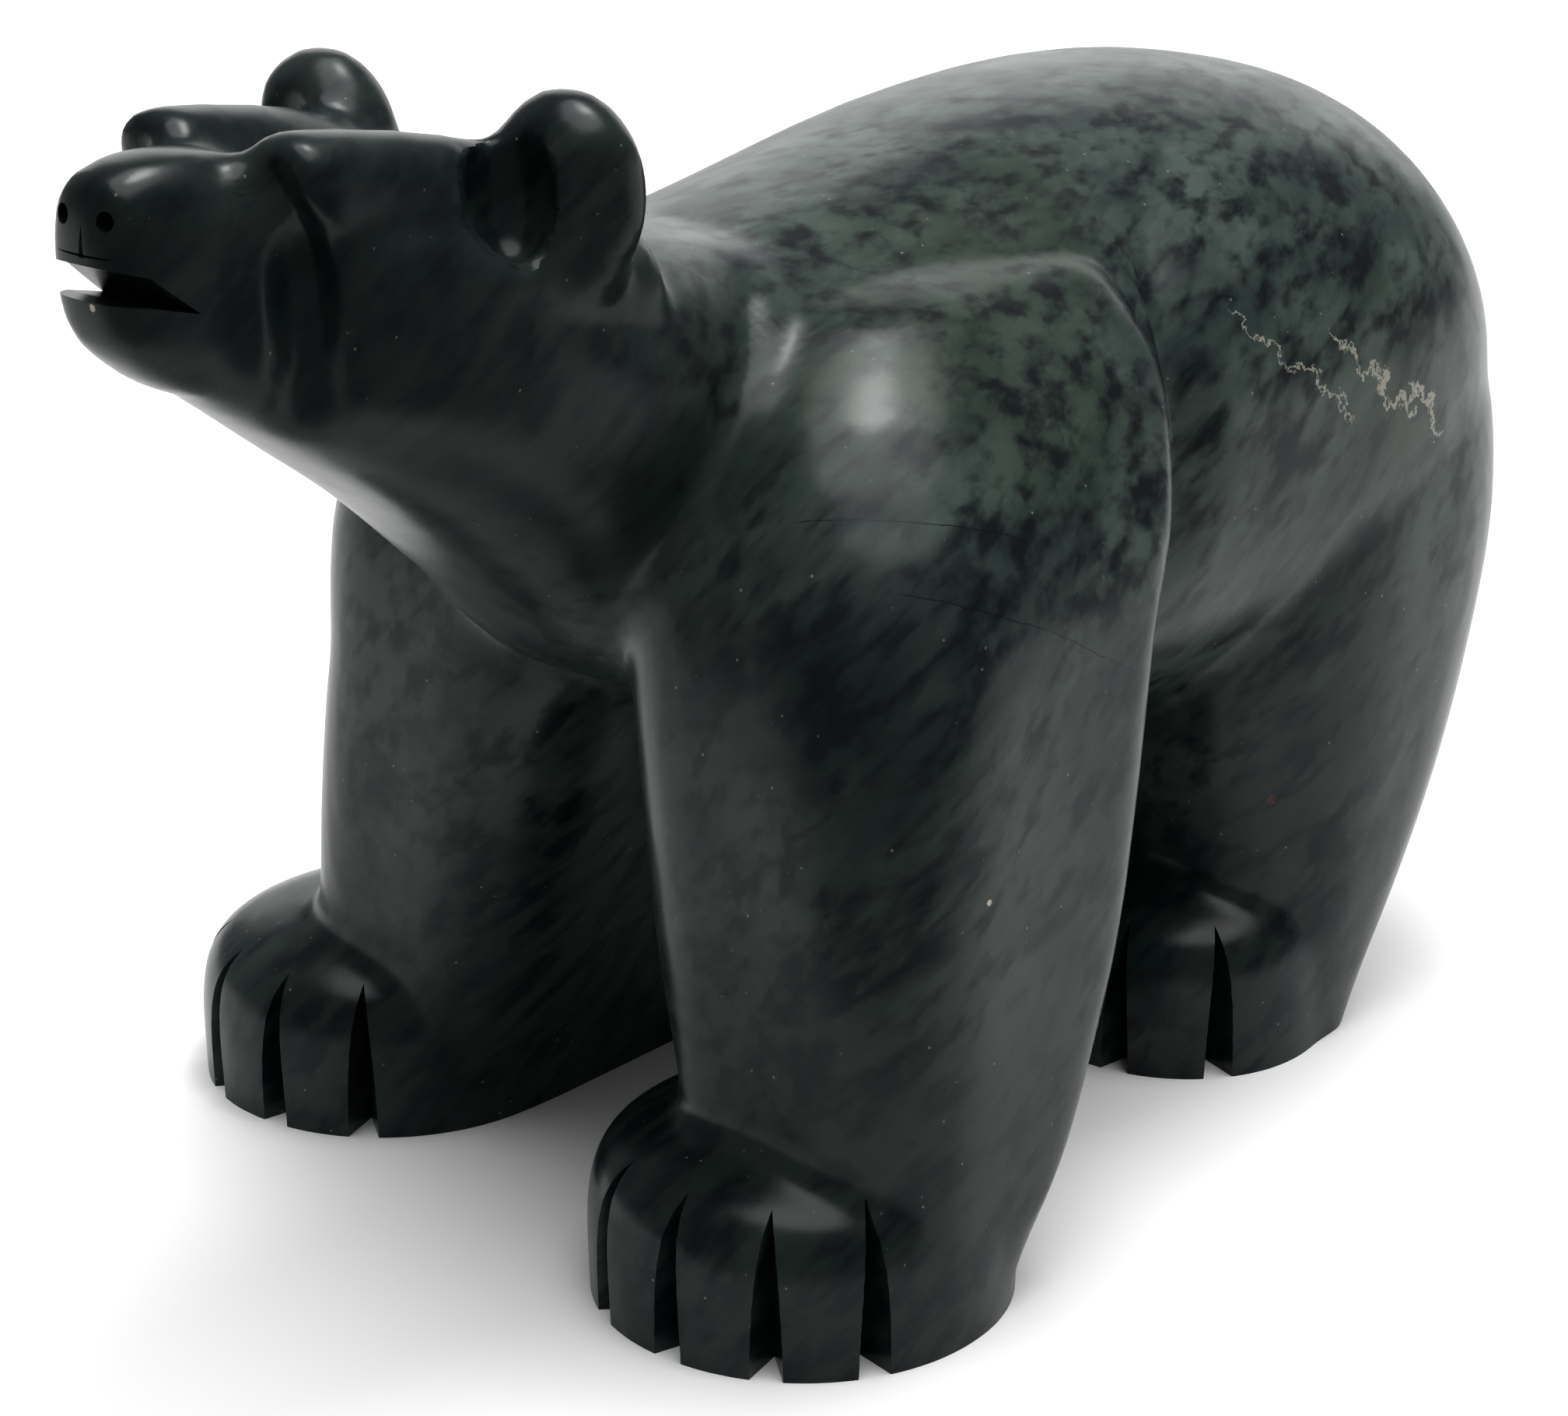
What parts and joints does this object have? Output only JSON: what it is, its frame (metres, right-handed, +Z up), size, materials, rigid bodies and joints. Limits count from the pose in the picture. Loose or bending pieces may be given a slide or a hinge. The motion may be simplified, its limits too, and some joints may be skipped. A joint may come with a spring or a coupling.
{
  "type": "bear carving",
  "caption": "Standing bear carved in one piece from polished dark green soapstone, head raised, with slotted toes.",
  "frame": {"origin": "on the ground, under the middle of the carving's box", "axes": "the bear faces -Y, its left side is +X, +Z is up"},
  "size_m": [0.2184, 0.374, 0.2364],
  "materials": {
    "soapstone": "polished, dark grey-green with bluish black streaks"
  },
  "bodies": {
    "root": {"bear_carving": "soapstone"}
  },
  "joints": []
}
